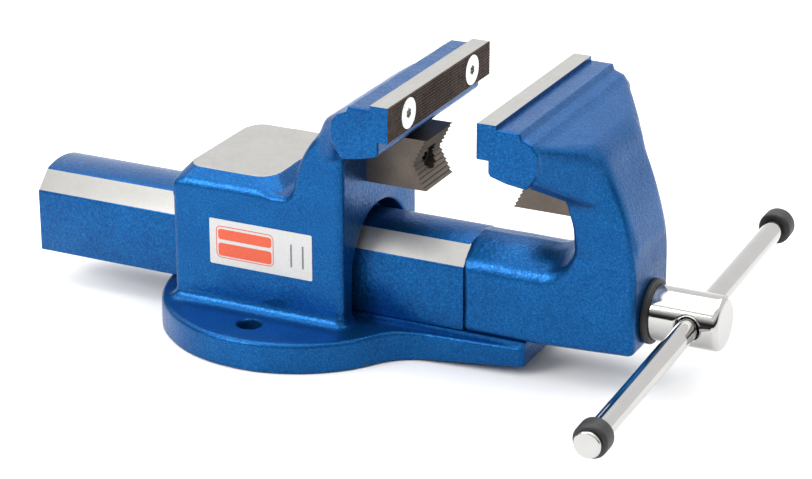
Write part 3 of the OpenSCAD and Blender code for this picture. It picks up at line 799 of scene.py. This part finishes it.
PAINT = hammered_paint()
GROUND = steel("ground_steel", (0.40, 0.395, 0.38), (0.33, 0.325, 0.31), 0.40, (1, 0.06, 1), 0.4, 0.85)
BLACK_PLATE = steel("black_plate", (0.085, 0.058, 0.045), (0.030, 0.020, 0.016), 0.42, size=1.2, metallic=0.8)
TOOL_STEEL = steel("tool_steel", (0.125, 0.104, 0.088), (0.090, 0.074, 0.062), 0.42, (0.25, 1, 1), 0.5, 0.9)
BRIGHT_STEEL = steel("bright_steel", (0.80, 0.80, 0.79), (0.62, 0.62, 0.61), 0.30, size=0.8)
BLACK_STEEL = steel("black_steel", (0.030, 0.030, 0.034), (0.012, 0.012, 0.014), 0.45, size=0.8, metallic=0.6)
BRONZE = steel("bronze", (0.42, 0.27, 0.10), (0.24, 0.15, 0.06), 0.38, (0.1, 1, 1), 0.6)
CHROME = steel("chromed_steel", (0.47, 0.463, 0.452), (0.43, 0.424, 0.414), 0.08, size=0.8, relief=0.002)
THREAD_STEEL = steel("thread_steel", (0.48, 0.48, 0.47), (0.30, 0.29, 0.28), 0.28, size=0.8)
RUBBER = rubber()
LABEL_WHITE = printed("label_white", (0.53, 0.53, 0.525), (0.48, 0.48, 0.475))
LABEL_ORANGE = printed("label_orange", (0.62, 0.078, 0.022), (0.55, 0.062, 0.018))
LABEL_GREY = printed("label_grey", (0.16, 0.17, 0.19), (0.12, 0.13, 0.15))


def dress(obj, body, replaces, slot, *materials):
    """Gives a piece its materials, ties it to its body and hides the nodes that it replaces."""
    if materials:
        obj.data.materials.clear()
        for m in materials:
            obj.data.materials.append(m)
    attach(obj, body)
    if replaces:
        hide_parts(*replaces)
    return obj


# ---- castings ----

body = sculpted("fixed_casting", fixed_casting, (BODY_LO[0] - 3, 0, -2),
                (BODY_HI[0] + 3, BODY_HI[1] + 3, JAW_TOP + 2), 1.0, 0.6)
bm = bmesh.new()
bm.from_mesh(body.data)
bmesh.ops.bisect_plane(bm, geom=bm.verts[:] + bm.edges[:] + bm.faces[:], dist=1e-7,
                       plane_co=(0, 0, (ANVIL_TOP - GROUND_SKIN) * MM), plane_no=(0, 0, 1))
for face in bm.faces:
    centre = face.calc_center_median() / MM
    on_anvil = ANVIL_TOP - GROUND_SKIN < centre.z < ANVIL_TOP + 0.3
    face.material_index = 1 if on_anvil and centre.x < BODY_X1 - 31 else 0
bm.to_mesh(body.data)
bm.free()
smooth(body, 42)
dress(body, "base", ["fixed_body"], "paint_blue")
body.data.materials.append(PAINT)
body.data.materials.append(GROUND)

jaw = sculpted("moving_casting", moving_casting, (ROOT_X - 2, 0, SLIDE_Z0 - 2),
               (FRONT_X + 3, JAW_HALF + 3, JAW_TOP + 2), 0.9, 0.6)
dress(jaw, "sliding_jaw", ["moving_jaw"], "paint_blue", PAINT)
dress(slide_bar(), "sliding_jaw", ["moving_jaw"], "paint_blue")

# ---- jaw furniture ----

for name, owner, face_x, out in (("fixed", "base", JAW_X, 1), ("moving", "sliding_jaw", FACE_X, -1)):
    dress(jaw_plate(f"{name}_serrated_plate", face_x, out), owner, [f"{name}_jaw_plate"], "jaw_steel")
    dress(pipe_jaw(f"{name}_toothed_jaw", face_x, out), owner, [f"{name}_pipe_jaw"], "tool_steel", TOOL_STEEL)

# ---- spindle and handle ----

bar_joint = next(j for j in frame["joints"] if j["name"] == "bar_slide")
BAR_WAY = Vector(bar_joint["axis"]).normalized()
BAR_LO, BAR_HI = box_mm("tommy_bar")
BAR_MID = Vector((BAR_LO + BAR_HI) / 2)
BAR_R = (BAR_HI[0] - BAR_LO[0]) / 2
BAR_HALF_L = ((BAR_HI[1] - BAR_LO[1]) / 2 - BAR_R * BAR_WAY.z) / BAR_WAY.y
HEAD_X0, HEAD_X1 = FRONT_X + 3, SPINDLE_HI[0]


def spindle_head(p):
    x, y, z = p
    d = both(both(np.hypot(y, z - AXIS_Z) - HEAD_R, x - HEAD_X1, 3.2), HEAD_X0 - x, 1)
    return without(d, np.hypot(x - BAR_MID.x, z - AXIS_Z) - BAR_R - 0.3, 1.7)


top = sculpted("spindle_head", spindle_head, (HEAD_X0 - 1, 0, AXIS_Z - HEAD_R - 1),
               (HEAD_X1 + 1, HEAD_R + 1, AXIS_Z + HEAD_R + 1), 0.5)
lean = math.atan2(BAR_WAY.z, BAR_WAY.y)
to_axis = Matrix.Translation((0, 0, AXIS_Z * MM))
top.data.transform(to_axis @ Matrix.Rotation(lean, 4, "X") @ to_axis.inverted())
dress(top, "screw", ["spindle"], "chromed_steel", CHROME)

THREAD_R, THREAD_PITCH = 11, 5
ALONG_X = (1, 0, 0)
shank_l = HEAD_X0 + 0.5 - WALL_IN + 12
shank = [(0, 0), (0, THREAD_R - 0.6), (0.6, THREAD_R), (shank_l, THREAD_R), (shank_l, 0)]
point_r = THREAD_R - 2.7
point = [(0, 0), (0, 6.5), (1.5, point_r), (4, point_r), (4, 0)]
for piece in (turned("spindle_shank", shank, (WALL_IN - 12, 0, AXIS_Z), ALONG_X),
              thread("spindle_thread", SPINDLE_LO[0] + 2, WALL_IN - 11, THREAD_R, THREAD_PITCH),
              turned("spindle_point", point, (SPINDLE_LO[0], 0, AXIS_Z), ALONG_X)):
    dress(piece, "screw", ["spindle"], "bright_steel", THREAD_STEEL)

COLLAR_R = (COLLAR_HI[2] - COLLAR_LO[2]) / 2
COLLAR_T = COLLAR_HI[0] - COLLAR_LO[0]
ring = [(0, HEAD_R + 0.15), (0, COLLAR_R - 1)] + arc(0.8, COLLAR_R - 0.8, 0.8, 180, 90, 4)
ring += arc(COLLAR_T - 1.4, COLLAR_R - 1.4, 1.4, 90, 0, 6) + [(COLLAR_T, HEAD_R + 0.15), (0, HEAD_R + 0.15)]
collar = turned("dust_collar", ring, (COLLAR_LO[0], 0, AXIS_Z), ALONG_X)
dress(collar, "screw", ["front_collar"], "black_rubber", RUBBER)

bar_l, bar_edge = 2 * BAR_HALF_L, 0.6
rod = [(0, 0), (0, BAR_R - bar_edge), (bar_edge, BAR_R), (bar_l - bar_edge, BAR_R), (bar_l, BAR_R - bar_edge),
       (bar_l, 0)]
bar_rod = turned("bar_rod", rod, BAR_MID - BAR_WAY * BAR_HALF_L, BAR_WAY)
dress(bar_rod, "handle", ["tommy_bar"], "chromed_steel", CHROME)
cap_l, ring_l = 3.2, 11
for name, sign in (("near", -1), ("far", 1)):
    end, way = BAR_MID + BAR_WAY * BAR_HALF_L * sign, BAR_WAY * sign
    cap_lo, cap_hi = box_mm(f"end_cap_{name}")
    ring_lo, ring_hi = box_mm(f"rubber_ring_{name}")
    cap_r, ring_r = (cap_hi[0] - cap_lo[0]) / 2, (ring_hi[0] - ring_lo[0]) / 2
    cap = [(-12, 0), (-12, 3), (0, 3), (0, cap_r - 0.3)] + arc(0.5, cap_r - 0.5, 0.5, 180, 90, 3)
    cap += arc(cap_l - 0.9, cap_r - 0.9, 0.9, 90, 15, 5) + [(cap_l, cap_r - 1.4), (cap_l, 0)]
    dress(turned(f"bar_cap_{name}", cap, end, way), "handle", [f"end_cap_{name}"], "chromed_steel", CHROME)
    ring = [(0, BAR_R + 0.05), (0, ring_r - 2)] + arc(2, ring_r - 2, 2, 180, 90, 6)
    ring += arc(ring_l - 2, ring_r - 2, 2, 90, 0, 6) + [(ring_l, BAR_R + 0.05), (0, BAR_R + 0.05)]
    grip = turned(f"bar_ring_{name}", ring, end - way * ring_l, way)
    dress(grip, "handle", [f"rubber_ring_{name}"], "black_rubber", RUBBER)

# ---- label: a white sheet with a plain orange frame, two orange bars and two thin grey rules ----

def round_rect(x0, z0, x1, z1, r):
    points = []
    middles = ((x1 - r, z0 + r, -90), (x1 - r, z1 - r, 0), (x0 + r, z1 - r, 90), (x0 + r, z0 + r, 180))
    for cx, cz, start in middles:
        points += arc(cx, cz, r, start, start + 90, 6)
    return points


def print_patch(name, outer, y, inner=None):
    """Flat patch of print just proud of the label, with a hole where inner is given."""
    bm = bmesh.new()
    rings = []
    for shape in (outer, inner):
        if shape:
            rings.append([bm.verts.new(Vector((a, y, b)) * MM) for a, b in shape])
    if inner:
        n = len(outer)
        for i in range(n):
            j = (i + 1) % n
            bm.faces.new((rings[0][i], rings[0][j], rings[1][j], rings[1][i]))
    else:
        bm.faces.new(rings[0])
    for face in bm.faces:
        if face.normal.y > 0:
            face.normal_flip()
    extruded = bmesh.ops.extrude_face_region(bm, geom=bm.faces[:])
    for v in [g for g in extruded["geom"] if isinstance(g, bmesh.types.BMVert)]:
        v.co.y += 0.12 * MM
    bmesh.ops.recalc_face_normals(bm, faces=bm.faces)
    return finish_mesh(name, bm)


lx, lz, ly = LABEL_LO[0], LABEL_LO[2], LABEL_LO[1]
lw, lh = LABEL_HI[0] - LABEL_LO[0], LABEL_HI[2] - LABEL_LO[2]
sheet = solid("label_sheet", round_rect(lx, lz, lx + lw, lz + lh, 0.8), "xz", ly, LABEL_HI[1])
dress(bevelled(sheet, 0.08, 1, 50), "base", ["side_label"], "label", LABEL_WHITE)
fx0, fx1, fz0, fz1 = lx + 4, lx + 39, lz + 4, lz + lh - 3.6
print_y, line_w = ly - 0.04, 0.5
hole = round_rect(fx0 + line_w, fz0 + line_w, fx1 - line_w, fz1 - line_w, 2.5)
frame_line = print_patch("label_frame", round_rect(fx0, fz0, fx1, fz1, 3), print_y, hole)
dress(frame_line, "base", None, "label", LABEL_ORANGE)
for name, low, high in (("lower", 1.2, 8.6), ("upper", 10.6, 16.6)):
    shape = round_rect(fx0 + 1.3, fz0 + low, fx1 - 1.3, fz0 + high, 1.6)
    patch = print_patch(f"label_{name}_bar", shape, print_y)
    dress(patch, "base", None, "label", LABEL_ORANGE)
for i, x in enumerate((lx + 49, lx + 56)):
    patch = print_patch(f"label_rule_{i}", round_rect(x, lz + 6, x + 1.1, lz + 19, 0.3), print_y)
    dress(patch, "base", None, "label", LABEL_GREY)

# ---- nodes that stay as they are, with finishes of their own ----

for node, mat in (("fixed_plate_screws", BRIGHT_STEEL), ("moving_plate_screws", BRIGHT_STEEL),
                  ("fixed_pipe_jaw_screw", BLACK_STEEL), ("moving_pipe_jaw_screw", BLACK_STEEL),
                  ("spindle_nut", BRONZE), ("front_bush", BRONZE), ("nut_screws", BLACK_STEEL),
                  ("gib_screws", BLACK_STEEL), ("guide_gib", GROUND), ("thrust_washer", BRIGHT_STEEL),
                  ("retaining_collar", BRIGHT_STEEL), ("collar_pin", BRIGHT_STEEL)):
    mesh = frame["nodes"][node].data
    mesh.materials.clear()
    mesh.materials.append(mat)

# ---- camera, floor and light ----

TARGET = Vector((0.06317, 0, 0.05435))
AZIMUTH, ELEVATION, DISTANCE = math.radians(25.84), math.radians(21.87), 1.4251
level = math.cos(ELEVATION)
back = Vector((math.sin(AZIMUTH) * level, -math.cos(AZIMUTH) * level, math.sin(ELEVATION)))
camera_data = bpy.data.cameras.new("camera")
camera_data.sensor_width, camera_data.lens = 36, 117.55
camera = bpy.data.objects.new("camera", camera_data)
bpy.context.scene.collection.objects.link(camera)
camera.location = TARGET + back * DISTANCE
camera.rotation_euler = (-back).to_track_quat("-Z", "Y").to_euler()
bpy.context.scene.camera = camera

bm = bmesh.new()
bmesh.ops.create_grid(bm, x_segments=8, y_segments=8, size=6)
floor = finish_mesh("floor", bm)
floor_mat, nodes, links, bsdf = material("floor_white")
bsdf.inputs["Base Color"].default_value = (0.86, 0.86, 0.86, 1)
bsdf.inputs["Roughness"].default_value = 0.6
floor.data.materials.append(floor_mat)
floor.location.z = -0.0003

world = bpy.data.worlds.new("studio")
bpy.context.scene.world = world
world.use_nodes = True
sky, wires = world.node_tree.nodes, world.node_tree.links
sky_way = sky.new("ShaderNodeSeparateXYZ")
wires.new(sky.new("ShaderNodeTexCoord").outputs["Generated"], sky_way.inputs["Vector"])
tone = ramp(sky, wires, sky_way.outputs["Z"], (0.0, 0.02), (0.20, 0.03), (0.36, 0.38), (0.50, 1.0),
            (0.86, 1.0), (0.88, 0.2), (0.91, 0.2), (0.93, 1.0))
# the backdrop stands behind the vise and runs over it; the front stays dark, for the dark band on chrome
behind = ramp(sky, wires, sky_way.outputs["Y"], (0.05, 0.0), (0.35, 1.0))
sweep = sky.new("ShaderNodeMix")
sweep.data_type = "RGBA"
wires.new(behind, sweep.inputs["Factor"])
wires.new(tone, sweep.inputs["A"])
sweep.inputs["B"].default_value = (1.0, 1.0, 1.0, 1.0)
wires.new(sweep.outputs["Result"], sky["Background"].inputs["Color"])
sky["Background"].inputs["Strength"].default_value = 1.25


def softbox(name, place, aim, width, height, power):
    data = bpy.data.lights.new(name, "AREA")
    data.shape, data.size, data.size_y, data.energy = "RECTANGLE", width, height, power
    light = bpy.data.objects.new(name, data)
    bpy.context.scene.collection.objects.link(light)
    light.location = place
    light.rotation_euler = (Vector(place) - Vector(aim)).to_track_quat("Z", "Y").to_euler()


softbox("key", (-0.9, -1.5, 1.1), TARGET, 0.9, 0.9, 24)
softbox("top", (-0.1, 0.2, 1.9), TARGET, 3.0, 2.4, 48)
bpy.context.scene.view_settings.view_transform = "Standard"
